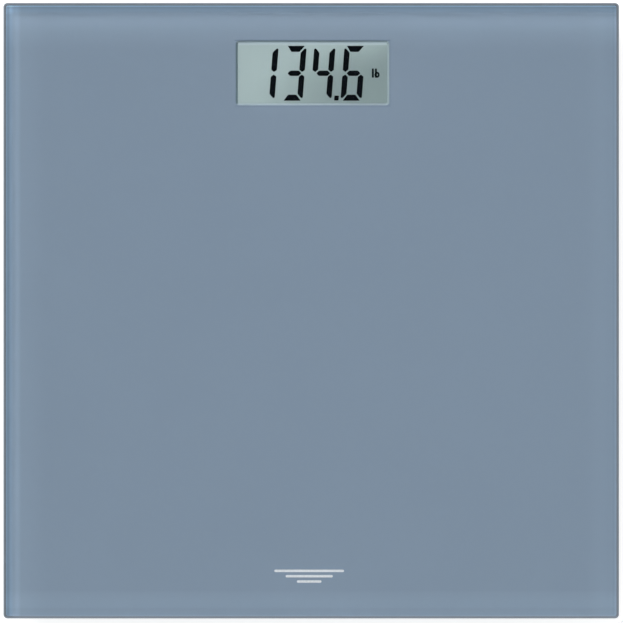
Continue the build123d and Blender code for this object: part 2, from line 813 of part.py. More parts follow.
# ================================================================ leads
def cell_lead(foot, offset):
    """Lead from a load cell to the circuit board, in three dimensions."""
    along = foot.x_dir
    across = foot.y_dir
    points = [foot.from_local_coords((x, offset, z)) for x, z in lead_climb]
    if foot.origin.Y < 0:
        turn = Vector(math.copysign(front_port_x, foot.origin.X), front_turn_y, lead_z)
        inner = Vector(-1, 0, 0)
        points.append(turn + (across + inner) * (offset / (1 + across.dot(inner))))
        points.append(Vector(points[-1].X, front_pad_y, lead_z))
        radii = [*climb_bends, turn_bend, pad_bend]
    else:
        pad = foot.origin + along * (foot_offset - side_pad_x) + across * offset
        points.append(Vector(pad.X, pad.Y, lead_z))
        radii = [*climb_bends, pad_bend]
    points.append(Vector(points[-1].X, points[-1].Y, pcb_top))
    with BuildLine() as path:
        route = FilletPolyline(*points, radius=radii)
    with BuildSketch(Plane(origin=route @ 0, z_dir=route % 0)) as wire:
        Circle(lead_radius)
    sweep(wire.sketch, path=path.line)


for lead_name, lane in (("leads_red", -1), ("leads_black", 0), ("leads_white", 1)):
    with BuildPart() as cell_leads:
        for foot in foot_planes.values():
            cell_lead(foot, lane * lead_pitch)
    finish(cell_leads, lead_name)

for lead_name, tab_end, row in (
    ("battery_lead_red", plate_tab_end, cell_rows[0]),
    ("battery_lead_black", spring_tab_end, cell_rows[1]),
):
    with BuildPart() as battery_lead:
        level = contact_top + battery_lead_radius
        lead_x = tab_end - battery_lead_inset
        with BuildLine():
            route = FilletPolyline(
                (lead_x, row - battery_lead_start, level),
                (lead_x, front_pad_y, level),
                (lead_x, front_pad_y, pcb_top),
                radius=battery_lead_bend,
            )
        with BuildSketch(Plane(origin=route @ 0, z_dir=route % 0)):
            Circle(battery_lead_radius)
        sweep()
    finish(battery_lead, lead_name)
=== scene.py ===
import math

import bmesh
import bpy
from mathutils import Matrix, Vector


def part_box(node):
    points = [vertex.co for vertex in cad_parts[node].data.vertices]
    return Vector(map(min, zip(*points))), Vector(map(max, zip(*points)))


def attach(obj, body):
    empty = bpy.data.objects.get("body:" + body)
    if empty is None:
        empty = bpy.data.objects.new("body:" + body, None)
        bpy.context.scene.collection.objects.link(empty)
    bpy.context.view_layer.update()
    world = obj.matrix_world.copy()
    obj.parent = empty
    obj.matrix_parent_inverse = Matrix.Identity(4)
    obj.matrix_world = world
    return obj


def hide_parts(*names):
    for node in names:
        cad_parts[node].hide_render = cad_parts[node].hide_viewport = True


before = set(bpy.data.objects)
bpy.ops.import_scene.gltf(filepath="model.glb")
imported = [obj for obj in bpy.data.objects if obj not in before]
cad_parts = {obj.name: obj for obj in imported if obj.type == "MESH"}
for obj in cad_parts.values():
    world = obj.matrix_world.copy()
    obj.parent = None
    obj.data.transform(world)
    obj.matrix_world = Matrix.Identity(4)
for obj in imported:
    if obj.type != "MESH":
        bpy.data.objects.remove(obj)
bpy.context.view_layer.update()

MM = 0.001
FEET = ("front_left", "front_right", "rear_left", "rear_right")

# places in the frame, in metres
glass_low, glass_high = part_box("platform_glass")
half_side = glass_high.x
polariser_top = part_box("lcd_front_polariser")[1].z
door_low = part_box("battery_door")[0]
# the surround is wider than the window by its rim, on every side
SURROUND_RIM = 1.5 * MM
surround_low, surround_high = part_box("window_bezel")
window_centre = (surround_low + surround_high) / 2
window_half_x = (surround_high.x - surround_low.x) / 2 - SURROUND_RIM
window_half_y = (surround_high.y - surround_low.y) / 2 - SURROUND_RIM


# ================================================================ node materials
SOCKETS = {
    "colour": "Base Color",
    "roughness": "Roughness",
    "metallic": "Metallic",
    "ior": "IOR",
    "coat": "Coat Weight",
    "coat_roughness": "Coat Roughness",
    "transmission": "Transmission Weight",
    "specular": "Specular IOR Level",
    "sheen": "Sheen Weight",
    "anisotropic": "Anisotropic",
    "subsurface": "Subsurface Weight",
    "subsurface_scale": "Subsurface Scale",
}


def solid(colour):
    return (*colour, 1.0)


def shade(colour, factor):
    return tuple(c * factor for c in colour)


class Finish:
    """One node material: a Principled shader and short calls that build what feeds it."""

    def __init__(self, name, **values):
        self.material = bpy.data.materials.new(name)
        self.material.use_nodes = True
        self.tree = self.material.node_tree
        self.shader = self.tree.nodes["Principled BSDF"]
        self.output = self.tree.nodes["Material Output"]
        self.place = self.add("ShaderNodeTexCoord").outputs["Object"]
        for key, value in values.items():
            self.shader.inputs[SOCKETS[key]].default_value = value

    def add(self, kind, *inputs, **settings):
        """A node; each input is a number, a tuple, a socket or None to leave it."""
        node = self.tree.nodes.new(kind)
        for key, value in settings.items():
            setattr(node, key, value)
        for index, value in enumerate(inputs):
            if isinstance(value, bpy.types.NodeSocket):
                self.tree.links.new(value, node.inputs[index])
            elif value is not None:
                node.inputs[index].default_value = value
        return node

    def math(self, operation, a, b=None):
        return self.add("ShaderNodeMath", a, b, operation=operation).outputs[0]

    def vector_math(self, operation, a, b=None):
        return self.add("ShaderNodeVectorMath", a, b, operation=operation)

    def axes(self):
        """x, y and z of the place on the object."""
        return self.add("ShaderNodeSeparateXYZ", self.place).outputs

    def noise(self, size, detail=3.0, stretch=(1, 1, 1)):
        """Noise from 0 to 1 with features of about size metres, drawn out where stretch is small."""
        place = self.place
        if stretch != (1, 1, 1):
            place = self.add("ShaderNodeMapping", place, None, None, stretch).outputs[0]
        node = self.add("ShaderNodeTexNoise", place)
        node.inputs["Scale"].default_value = 1 / size
        node.inputs["Detail"].default_value = detail
        return node.outputs[0]

    def cells(self, size):
        """Distance to the nearest of scattered points about size metres apart."""
        node = self.add("ShaderNodeTexVoronoi", self.place)
        node.inputs["Scale"].default_value = 1 / size
        return node.outputs["Distance"]

    def between(self, value, low, high, out_low, out_high, smooth=False):
        """value taken from low..high to out_low..out_high, held at both ends."""
        node = self.add("ShaderNodeMapRange", value, low, high, out_low, out_high)
        if smooth:
            node.interpolation_type = "SMOOTHSTEP"
        return node.outputs[0]

    def past(self, value, place, fade):
        """0 up to the place, then rising to 1 over the fade."""
        return self.between(value, place, place + fade, 0.0, 1.0)

    def until(self, value, place, fade):
        """1 up to the place, then falling to 0 over the fade."""
        return self.between(value, place, place + fade, 1.0, 0.0)

    def blend(self, factor, a, b):
        """Colour a at factor 0 and b at 1."""
        node = self.add("ShaderNodeMix", data_type="RGBA")
        for socket, value in ((node.inputs[0], factor), (node.inputs[6], a), (node.inputs[7], b)):
            if isinstance(value, bpy.types.NodeSocket):
                self.tree.links.new(value, socket)
            else:
                socket.default_value = value if isinstance(value, float) else solid(value[:3])
        return node.outputs[2]

    def mottle(self, noise, colour, dark, light):
        """The colour times dark in the noise's low spots and times light in its high ones."""
        share = self.between(noise, 0.3, 0.7, 0.0, 1.0)
        return self.blend(share, shade(colour, dark), shade(colour, light))

    def use(self, socket, value):
        self.tree.links.new(value, self.shader.inputs[SOCKETS.get(socket, socket)])

    def gloss(self, noise, low, high):
        """Roughness from low in the noise's low spots to high in its high ones."""
        self.use("roughness", self.between(noise, 0.3, 0.7, low, high))

    def bump(self, height, depth, strength):
        """Relief of that depth in metres; calls stack."""
        node = self.add("ShaderNodeBump")
        node.inputs["Strength"].default_value = strength
        node.inputs["Distance"].default_value = depth
        self.tree.links.new(height, node.inputs["Height"])
        before = self.shader.inputs["Normal"].links
        if before:
            self.tree.links.new(before[0].from_socket, node.inputs["Normal"])
        self.use("Normal", node.outputs[0])

    def send(self, factor, other):
        """The shader goes to the output mixed with the other one, by that factor."""
        mix = self.add("ShaderNodeMixShader", factor)
        self.tree.links.new(self.shader.outputs[0], mix.inputs[1])
        self.tree.links.new(other.outputs[0], mix.inputs[2])
        self.tree.links.new(mix.outputs[0], self.output.inputs["Surface"])


def moulded(name, colour, roughness=0.45, depth=0.018 * MM):
    """Injection-moulded plastic: spark-eroded grain, slow flow marks and uneven gloss."""
    f = Finish(name, roughness=roughness)
    grain = 0.35 * MM
    flow = f.noise(26 * MM, 2.0, (1.0, 0.45, 1.0))
    speck = f.noise(grain * 4, 4.0)
    base = f.mottle(flow, colour, 0.95, 1.04)
    f.use("colour", f.blend(f.between(speck, 0.62, 0.8, 0.0, 0.25), base, shade(colour, 0.8)))
    f.gloss(f.noise(9 * MM), roughness - 0.05, roughness + 0.10)
    f.bump(f.noise(grain, 5.0), depth, 0.7)
    f.bump(flow, 0.05 * MM, 0.35)
    return f.material


def rubber(name, colour):
    """Moulded rubber: matt, with a fine pebbled skin and patches of pale dust."""
    f = Finish(name, roughness=0.8, specular=0.35, sheen=0.15)
    dust = f.noise(7 * MM, 4.0)
    f.use("colour", f.blend(f.between(dust, 0.45, 0.75, 0.0, 0.5), colour, shade(colour, 1.9)))
    f.gloss(f.noise(2.2 * MM), 0.68, 0.9)
    f.bump(f.cells(0.55 * MM), 0.05 * MM, 0.6)
    f.bump(f.noise(0.25 * MM, 4.0), 0.02 * MM, 0.5)
    return f.material


def metal(name, colour, roughness, stretch):
    """Plated sheet metal with fine rolling lines and a cloudy bloom."""
    f = Finish(name, metallic=1.0, roughness=roughness, anisotropic=0.4)
    rolling = f.noise(0.72 * MM, 4.0, stretch)
    bloom = f.noise(6 * MM, 4.0)
    tint = f.blend(f.between(bloom, 0.35, 0.7, 0.0, 1.0), colour, shade(colour, 0.82))
    f.use("colour", f.blend(f.between(rolling, 0.35, 0.65, 0.0, 0.5), tint, shade(colour, 0.7)))
    f.gloss(rolling, roughness - 0.1, roughness + 0.14)
    f.bump(rolling, 0.01 * MM, 0.5)
    return f.material


def insulation(name, colour):
    """Extruded PVC: smooth, slightly waxy and a little uneven in tone."""
    f = Finish(name, roughness=0.36, coat=0.15, coat_roughness=0.3)
    drawn = f.noise(1.6 * MM)
    f.use("colour", f.mottle(drawn, colour, 0.9, 1.08))
    f.gloss(drawn, 0.3, 0.46)
    f.bump(f.noise(0.4 * MM), 0.02 * MM, 0.4)
    return f.material


def foam(name, colour):
    """Closed-cell foam: matt with open pores on the cut faces, and shade painted into the pores."""
    f = Finish(name, roughness=0.92, specular=0.2)
    pore_depth_and_shade = f.between(f.cells(0.22 * MM), 0.0, 0.6, 0.0, 1.0)
    # painted shade: the pores are darker towards their middles
    f.use("colour", f.blend(pore_depth_and_shade, shade(colour, 0.4), shade(colour, 1.5)))
    f.gloss(f.noise(3 * MM), 0.85, 0.98)
    f.bump(pore_depth_and_shade, 0.06 * MM, 0.8)
    return f.material


def let_lamps_through(f, tint):
    """Lamps reach what is behind this glass as through a plain pane."""
    rays = f.add("ShaderNodeLightPath")
    pane = f.add("ShaderNodeBsdfTransparent", solid(tint))
    f.send(rays.outputs["Is Shadow Ray"], pane)


def clear_glass(name, colour):
    """Float glass with a trace of smears; lamps light what lies under it."""
    f = Finish(name, colour=solid(colour), transmission=1.0, ior=1.52)
    smear = f.noise(38 * MM, 5.0, (1.0, 0.55, 1.0))
    f.use("roughness", f.between(smear, 0.45, 0.75, 0.004, 0.034, smooth=True))
    let_lamps_through(f, colour)
    return f.material


def frosted_glass(name, colour):
    """The flat of the edge after fine grinding: translucent, with long faint grinding marks."""
    f = Finish(name, transmission=0.45, ior=1.52)
    marks = f.noise(9 * MM, 3.0, (1.0, 1.0, 25.0))
    f.use("colour", f.mottle(marks, colour, 0.94, 1.06))
    f.gloss(marks, 0.32, 0.44)
    f.bump(f.noise(2 * MM, 2.0, (1.0, 1.0, 12.0)), 0.004 * MM, 0.4)
    let_lamps_through(f, colour)
    return f.material


def ground_glass(name, colour):
    """Ground and half-polished bevel: fine scratches, and a painted highlight along the front edge."""
    f = Finish(name, transmission=0.25, ior=1.52)
    scratch = f.noise(4 * MM, 3.0, (1.0, 1.0, 20.0))
    ground = f.blend(f.between(scratch, 0.35, 0.7, 0.0, 1.0), shade(colour, 0.97), shade(colour, 1.08))
    _, y, _ = f.axes()
    # painted highlight: a lighter band along the front edge of the bevel
    highlight_start = f.past(y, -half_side + 0.35 * MM, 0.25 * MM)
    highlight_end = f.until(y, -half_side + 1.0 * MM, 0.3 * MM)
    f.use("colour", f.blend(f.math("MULTIPLY", highlight_start, highlight_end), ground, shade(colour, 1.45)))
    f.gloss(scratch, 0.28, 0.38)
    f.bump(f.noise(1.2 * MM, 2.0, (1.0, 1.0, 8.0)), 0.003 * MM, 0.4)
    return f.material


COAT = (0.272, 0.346, 0.434)
# painted light and shade: how the coat brightens and darkens towards each side as light falls near the
# glass edges: (mm from the side, brightness)
EDGE_LIGHT_AND_SHADE = {
    "left": (
        (1.4, 1.66), (1.9, 1.23), (2.4, 1.47), (3.4, 1.67),
        (4.9, 1.31), (6.4, 1.29), (8.4, 1.08), (20, 1.0),
    ),
    "back": (
        (1.4, 2.0), (1.9, 1.27), (3.1, 1.5), (4.0, 1.45),
        (5.6, 1.21), (9.8, 1.22), (14, 1.11), (22, 1.0),
    ),
    "right": (
        (0.9, 1.25), (2.4, 1.01), (3.5, 1.07),
        (5.0, 1.04), (8.5, 1.05), (16, 1.0),
    ),
    "front": (
        (0.9, 1.33), (1.8, 1.1), (4.3, 1.05), (5.5, 1.1),
        (8.6, 1.09), (12.3, 1.04), (13.5, 1.0),
    ),
}
# the ramps of that painted light and shade run this far in from the side, in mm
EDGE_REACH = 24.0


def window_offsets(f):
    """How far the place is across and up from the window's middle."""
    x, y, _ = f.axes()
    return f.math("SUBTRACT", x, window_centre.x), f.math("SUBTRACT", y, window_centre.y)


def edge_light_and_shade(f, distance, stops):
    """Painted light and shade at that distance from a side, as a grey brightness that may pass 1."""
    ramp = f.add("ShaderNodeValToRGB", f.math("DIVIDE", distance, EDGE_REACH * MM))
    elements = ramp.color_ramp.elements
    while len(elements) < len(stops):
        elements.new(0.5)
    # the ramp holds half the brightness, because its colours stop at 1
    for element, (place, brightness) in zip(elements, stops):
        element.position = place / EDGE_REACH
        element.color = solid((brightness / 2,) * 3)
    doubled = f.vector_math("SCALE", ramp.outputs[0])
    doubled.inputs["Scale"].default_value = 2.0
    return doubled.outputs[0]


def colour_coat(name):
    """The blue coat as seen bonded to the glass, with light and shade painted near the edges of the slab.
    """
    f = Finish(name, roughness=0.5, specular=0.0)
    x, y, _ = f.axes()
    colour = f.mottle(f.noise(45 * MM), COAT, 0.996, 1.004)
    distances = {
        "left": f.math("ADD", x, half_side),
        "right": f.math("SUBTRACT", half_side, x),
        "back": f.math("SUBTRACT", half_side, y),
        "front": f.math("ADD", y, half_side),
    }
    for side, stops in EDGE_LIGHT_AND_SHADE.items():
        side_light = edge_light_and_shade(f, distances[side], stops)
        colour = f.vector_math("MULTIPLY", colour, side_light).outputs[0]
    # a thin shadow round the end of the coat at the window: dark above, faint below and to the right
    dx, dy = window_offsets(f)
    beyond_x = f.math("SUBTRACT", f.math("ABSOLUTE", dx), window_half_x)
    beyond_y = f.math("SUBTRACT", f.math("ABSOLUTE", dy), window_half_y)
    beyond = f.math("MAXIMUM", beyond_x, beyond_y)
    above = f.math("GREATER_THAN", dy, window_half_y)
    right = f.math("GREATER_THAN", f.math("SUBTRACT", dx, dy), window_half_x - window_half_y)
    right_or_below = f.math("MAXIMUM", right, f.math("LESS_THAN", dy, -window_half_y))
    dark_line = f.math("MULTIPLY", f.between(beyond, 0.35 * MM, 0.6 * MM, 0.55, 0.0), above)
    faint_line = f.math("MULTIPLY", f.between(beyond, 0.45 * MM, 1.0 * MM, 0.16, 0.0), right_or_below)
    f.use("colour", f.blend(f.math("MAXIMUM", dark_line, faint_line), colour, (0.10, 0.15, 0.20)))
    f.gloss(f.noise(0.8 * MM), 0.45, 0.6)
    f.bump(f.noise(0.4 * MM, 4.0), 0.004 * MM, 0.4)
    return f.material


def coat_underside(name, colour):
    """The back of the coat, as sprayed: orange peel and faint overlap bands."""
    f = Finish(name, roughness=0.5, specular=0.4)
    bands = f.noise(30 * MM, 2.0, (0.15, 1.0, 1.0))
    f.use("colour", f.mottle(bands, colour, 0.93, 1.06))
    f.gloss(f.noise(2.5 * MM, 4.0), 0.38, 0.6)
    f.bump(f.noise(1.1 * MM), 0.02 * MM, 0.5)
    return f.material


def window_surround(name):
    """The sloped surround of the window, with light and shade painted on: painted shade above and to the
    left, painted light below and to the right.
    """
    f = Finish(name, roughness=0.55, specular=0.2)
    dx, dy = window_offsets(f)
    left = f.math("SUBTRACT", f.math("MULTIPLY", dx, -1.0), window_half_x)
    above = f.math("SUBTRACT", dy, window_half_y)
    right = f.math("SUBTRACT", dx, window_half_x)
    below = f.math("SUBTRACT", f.math("MULTIPLY", dy, -1.0), window_half_y)
    # the sides with painted light: the lower one darkens towards the right
    rightwards = f.between(dx, -25 * MM, 33 * MM, 0.0, 1.0)
    lower = f.blend(rightwards, (0.375, 0.455, 0.51), (0.306, 0.372, 0.42))
    lit = f.blend(f.math("GREATER_THAN", below, right), (0.318, 0.398, 0.424), lower)
    # the sides with painted shade, and a painted highlight where the foot of the upper slope catches the
    # light
    upper = f.math("GREATER_THAN", above, left)
    foot = f.math("MULTIPLY", upper, f.math("LESS_THAN", above, -0.4 * MM))
    shaded = f.blend(upper, (0.19, 0.27, 0.31), (0.26, 0.35, 0.40))
    shaded = f.blend(foot, shaded, (0.54, 0.66, 0.72))
    lit_sides = f.math("GREATER_THAN", f.math("MAXIMUM", right, below), f.math("MAXIMUM", left, above))
    wave = f.between(f.noise(3 * MM, 4.0), 0.3, 0.7, 0.0, 0.12)
    f.use("colour", f.blend(wave, f.blend(lit_sides, shaded, lit), (0.2, 0.26, 0.28)))
    f.gloss(f.noise(1.5 * MM), 0.45, 0.65)
    f.bump(f.noise(0.3 * MM), 0.01 * MM, 0.4)
    return f.material


def display_ground(name):
    """Polariser over the reflector: pale grey-green, with a painted shadow deepening towards the lower
    right.
    """
    f = Finish(name, roughness=0.42, specular=0.25)
    x, y, _ = f.axes()
    fall = f.math("SUBTRACT", window_centre.y + window_half_y, y)
    # the shadow's edge leans: it runs far to the right under the top edge and steepens lower down
    lean_fade, lean_reach = 12.2 * MM, 68 * MM
    shadow_start, shadow_full = -48 * MM, 14 * MM
    lean = f.math("MULTIPLY", f.math("EXPONENT", f.math("DIVIDE", fall, -lean_fade)), lean_reach)
    ripple = f.between(f.noise(14 * MM, 2.0), 0.3, 0.7, -1.5 * MM, 1.5 * MM)
    depth = f.math("ADD", f.math("SUBTRACT", x, lean), ripple)
    shadow = f.between(depth, shadow_start, shadow_full, 0.0, 1.0, smooth=True)
    colour = f.blend(shadow, (0.412, 0.511, 0.513), (0.250, 0.323, 0.325))
    # a painted highlight: a paler band under the top edge
    f.use("colour", f.blend(f.until(fall, 1.6 * MM, 0.5 * MM), colour, (0.47, 0.57, 0.61)))
    f.gloss(f.noise(5 * MM), 0.38, 0.48)
    f.bump(f.noise(0.15 * MM), 0.004 * MM, 0.4)
    return f.material


def board(name):
    """Green solder mask over copper tracks, with glass-cloth weave under it."""
    f = Finish(name, roughness=0.3, coat=0.3, coat_roughness=0.2)
    tracks = f.add("ShaderNodeTexBrick", f.place, (0, 0, 0, 1), (0, 0, 0, 1), (1, 1, 1, 1))
    tracks.inputs["Scale"].default_value = 1 / (8 * MM)
    tracks.inputs["Mortar Size"].default_value = 0.045
    line = tracks.outputs["Fac"]
    green = f.blend(f.math("MULTIPLY", line, 0.8), (0.012, 0.105, 0.045), (0.035, 0.24, 0.09))
    weave = f.noise(0.5 * MM, 2.0)
    f.use("colour", f.blend(f.between(weave, 0.4, 0.7, 0.0, 0.3), green, (0.03, 0.16, 0.08)))
    f.gloss(f.noise(3 * MM), 0.24, 0.38)
    f.bump(line, 0.03 * MM, 0.8)
    return f.material


def battery_sleeve(name, node, nub_on_right):
    """Printed shrink sleeve with a pale band at one end, and bare nickel end caps."""
    f = Finish(name, coat=0.5, coat_roughness=0.12)
    x, _, _ = f.axes()
    low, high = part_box(node)
    along = f.math("SUBTRACT", x, low.x) if nub_on_right else f.math("SUBTRACT", high.x, x)
    # places along the cell, from its flat end
    flat_cap, line_start, line_end, highlight_start, nub_cap = (mm * MM for mm in (0.5, 33.2, 34.0, 35.0, 43.0))
    crisp = 0.05 * MM
    band = f.past(along, highlight_start, crisp)
    line = f.math("MULTIPLY", f.past(along, line_start, crisp), f.until(along, line_end, crisp))
    bare = f.math("MAXIMUM", f.until(along, flat_cap, crisp), f.past(along, nub_cap, crisp))
    scuff = f.between(f.noise(5 * MM, 5.0), 0.55, 0.8, 0.0, 0.25)
    sleeve = f.blend(band, (0.010, 0.055, 0.075), (0.46, 0.30, 0.07))
    sleeve = f.blend(line, sleeve, (0.7, 0.7, 0.68))
    sleeve = f.blend(scuff, sleeve, (0.35, 0.36, 0.36))
    f.use("colour", f.blend(bare, sleeve, (0.62, 0.61, 0.58)))
    f.use("metallic", bare)
    f.gloss(f.noise(2 * MM, 4.0), 0.22, 0.36)
    f.bump(f.noise(1.5 * MM, 4.0), 0.02 * MM, 0.3)
    return f.material


def contact_rubber(name):
    """Elastomer strip: thin dark and pink layers across its length."""
    f = Finish(name, roughness=0.6)
    x, _, _ = f.axes()
    layers = f.math("FRACT", f.math("DIVIDE", x, 0.36 * MM))
    stripe = f.between(layers, 0.42, 0.58, 0.0, 1.0)
    f.use("colour", f.blend(stripe, (0.55, 0.2, 0.2), (0.02, 0.02, 0.022)))
    f.gloss(f.noise(1 * MM), 0.5, 0.7)
    return f.material


def even(name, colour, roughness, size=2 * MM, depth=0.01 * MM, **values):
    """A plain finish with a little unevenness in tone, gloss and surface."""
    f = Finish(name, **values)
    wave = f.noise(size, 4.0)
    f.use("colour", f.mottle(wave, colour, 0.92, 1.06))
    f.gloss(wave, roughness * 0.8, min(1.0, roughness * 1.25))
    f.bump(f.noise(size / 4), depth, 0.5)
    return f.material


def ink(name, colour, size=1 * MM, **values):
    """A thin printed or switched film with almost no relief."""
    return even(name, colour, 0.5, size, 0.002 * MM, **values)


ABS_GREY = (0.40, 0.42, 0.44)
NO_GRAIN = (1, 1, 1)
abs_housing = moulded("abs_housing", ABS_GREY)
abs_cap = moulded("abs_cap", shade(ABS_GREY, 0.80), 0.5)
abs_tray = moulded("abs_tray", shade(ABS_GREY, 0.95), 0.48)
abs_door = moulded("abs_door", shade(ABS_GREY, 1.02), 0.42)
abs_channel = moulded("abs_channel", shade(ABS_GREY, 1.06), 0.4, depth=0.008 * MM)
button_plastic = moulded("button_plastic", (0.06, 0.065, 0.07), 0.4, depth=0.006 * MM)
holder_plastic = moulded("holder_plastic", (0.62, 0.62, 0.60), 0.4, depth=0.008 * MM)
pad_rubber = rubber("pad_rubber", (0.030, 0.031, 0.033))
black_foam = foam("black_foam", (0.018, 0.018, 0.02))
cell_steel = metal("cell_steel", (0.58, 0.57, 0.55), 0.34, (1.0, 0.04, 1.0))
screw_steel = metal("screw_steel", (0.60, 0.60, 0.60), 0.28, NO_GRAIN)
contact_steel = metal("contact_steel", (0.72, 0.70, 0.66), 0.22, (1.0, 1.0, 0.05))
silicone = even(
    "silicone", (0.74, 0.74, 0.71), 0.35, depth=0.05 * MM, subsurface=0.2, subsurface_scale=0.5 * MM
)
black_epoxy = even("black_epoxy", (0.010, 0.010, 0.011), 0.14, depth=0.03 * MM)
black_plastic = even("black_plastic", (0.018, 0.018, 0.019), 0.45, 0.6 * MM)
red_pvc = insulation("red_pvc", (0.50, 0.012, 0.010))
black_pvc = insulation("black_pvc", (0.012, 0.012, 0.013))
white_pvc = insulation("white_pvc", (0.72, 0.72, 0.69))
lcd_plate = even("lcd_plate", (0.50, 0.58, 0.56), 0.06, coat=0.3)
reflector_film = even("reflector_film", (0.42, 0.50, 0.48), 0.3, metallic=0.4)
segment_ink = ink("segment_ink", (0.0015, 0.003, 0.005), specular=0.02)
sign_ink = ink("sign_ink", (0.004, 0.010, 0.012), specular=0.02)
white_ink = ink("white_ink", (0.84, 0.86, 0.88), 0.7 * MM)
top_glass = clear_glass("top_glass", (0.985, 0.992, 0.992))
side_glass = frosted_glass("side_glass", (0.46, 0.58, 0.63))
# the bevel's dark blue-grey is painted shade: it stands for the darker band along the slab's edges
bevel_glass = ground_glass("bevel_glass", (0.150, 0.175, 0.205))
bonded_coat = colour_coat("bonded_coat")
coat_back = coat_underside("coat_back", (0.17, 0.225, 0.29))
display_face = display_ground("display_face")

node_materials = {
    "colour_backing": coat_back,
    "window_bezel": window_surround("bezel_plastic"),
    "lcd_front_polariser": display_face,
    "lcd_front_glass": lcd_plate,
    "lcd_rear_glass": lcd_plate,
    "lcd_reflector": reflector_film,
    "zebra_strip": contact_rubber("contact_rubber"),
    "lcd_holder": holder_plastic,
    "main_pcb": board("solder_mask"),
    "chip_blob": black_epoxy,
    "display_screws": screw_steel,
    "tact_switch": black_plastic,
    "switch_plunger": black_plastic,
    "unit_button": button_plastic,
    "display_tray": abs_tray,
    "tray_tape": black_foam,
    "battery_front": battery_sleeve("sleeve_front", "battery_front", True),
    "battery_rear": battery_sleeve("sleeve_rear", "battery_rear", False),
    "battery_plate_contact": contact_steel,
    "battery_spring_contact": contact_steel,
    "battery_bridge_contact": contact_steel,
    "battery_door": abs_door,
    "foot_tapes": black_foam,
    "strain_gauges": silicone,
    "leads_red": red_pvc,
    "leads_black": black_pvc,
    "leads_white": white_pvc,
    "battery_lead_red": red_pvc,
    "battery_lead_black": black_pvc,
}
for foot in FEET:
    node_materials[f"foot_housing_{foot}"] = abs_housing
    node_materials[f"load_cell_{foot}"] = cell_steel
    node_materials[f"foot_cap_{foot}"] = abs_cap
    node_materials[f"foot_pad_{foot}"] = pad_rubber
    node_materials[f"wire_channel_{foot}"] = abs_channel
for node_name, material in node_materials.items():
    for material_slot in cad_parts[node_name].material_slots:
        material_slot.link = "OBJECT"
        material_slot.material = material


# ================================================================ mesh helpers
def piece_from(bm, name, body, materials):
    """The finished bmesh as a piece of the object, riding on a body."""
    mesh = bpy.data.meshes.new(name)
    bm.to_mesh(mesh)
    bm.free()
    piece = bpy.data.objects.new(name, mesh)
    bpy.context.scene.collection.objects.link(piece)
    for material in materials:
        mesh.materials.append(material)
    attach(piece, body)
    return piece


def rounded_loop(half_x, half_y, radius, steps=8):
    """Points round a rectangle with arcs at its corners, anticlockwise."""
    points = []
    for quarter, (sx, sy) in enumerate(((1, 1), (-1, 1), (-1, -1), (1, -1))):
        for step in range(steps + 1):
            angle = math.pi / 2 * (quarter + step / steps)
            x = sx * (half_x - radius) + radius * math.cos(angle)
            y = sy * (half_y - radius) + radius * math.sin(angle)
            points.append((x, y))
    return points


def moved(points, dx, dy):
    return [(x + dx, y + dy) for x, y in points]


def ring(bm, points, z):
    return [bm.verts.new((x, y, z)) for x, y in points]


def bridge(bm, lower, upper, material=0, smooth=False):
    """Side faces between two loops with the same number of points."""
    count = len(lower)
    for i in range(count):
        face = bm.faces.new((lower[i], lower[(i + 1) % count], upper[(i + 1) % count], upper[i]))
        face.material_index = material
        face.smooth = smooth


def plate(bm, outline, low, high):
    """A flat plate with that outline, anticlockwise."""
    bottom = ring(bm, outline, low)
    top = ring(bm, outline, high)
    bm.faces.new(list(reversed(bottom)))
    bm.faces.new(top)
    bridge(bm, bottom, top)


def softened(bm, radius):
    """Rounds the upright edges of plates."""
    upright = [e for e in bm.edges if abs(e.verts[0].co.z - e.verts[1].co.z) > 1e-6]
    bmesh.ops.bevel(bm, geom=upright, offset=radius, segments=3, affect="EDGES", profile=0.5)


# ================================================================ glass platform
def glass_slab():
    """The slab with softened bevels; its underside carries the bonded coat round a clear window."""
    clear, ground, frosted, coat = range(4)
    bevel = 1.0 * MM
    corner, least_corner = 2.0 * MM, 0.8 * MM
    window_corner = 1.8 * MM
    soft = 0.12 * MM
    # the underside stays just clear of the coat's own node
    floor_z = glass_low.z + 0.02 * MM
    bm = bmesh.new()
    # (distance in from the side, height), from the underside up, and what each band between is
    profile = [
        (bevel, floor_z),
        (bevel - soft, floor_z + 0.2 * soft),
        (soft, glass_low.z + bevel - 0.6 * soft),
        (0.0, glass_low.z + bevel + soft),
        (0.0, glass_high.z - bevel - soft),
        (soft, glass_high.z - bevel + 0.6 * soft),
        (bevel - soft, glass_high.z - 0.2 * soft),
        (bevel + soft, glass_high.z),
    ]
    bands = [ground, ground, frosted, frosted, frosted, ground, ground]
    loops = []
    for inset, z in profile:
        half = half_side - inset
        loops.append(ring(bm, rounded_loop(half, half, max(corner - inset, least_corner)), z))
    for lower, upper, band in zip(loops, loops[1:], bands):
        bridge(bm, lower, upper, band, smooth=True)
    bm.faces.new(loops[-1]).material_index = clear
    window_outline = rounded_loop(window_half_x, window_half_y, window_corner)
    window = ring(bm, moved(window_outline, window_centre.x, window_centre.y), floor_z)
    bm.edges.ensure_lookup_table()
    edges = []
    for loop in (loops[0], window):
        for i, vert in enumerate(loop):
            other = loop[(i + 1) % len(loop)]
            edges.append(bm.edges.get((vert, other)) or bm.edges.new((vert, other)))
    for part in bmesh.ops.triangle_fill(bm, edges=edges, use_beauty=True)["geom"]:
        if isinstance(part, bmesh.types.BMFace):
            part.material_index = coat
    bm.faces.new(list(reversed(window))).material_index = clear
    bmesh.ops.recalc_face_normals(bm, faces=bm.faces)
    materials = (top_glass, bevel_glass, side_glass, bonded_coat)
    slab = piece_from(bm, "glass_slab", "platform", materials)
    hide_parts("platform_glass")


glass_slab()


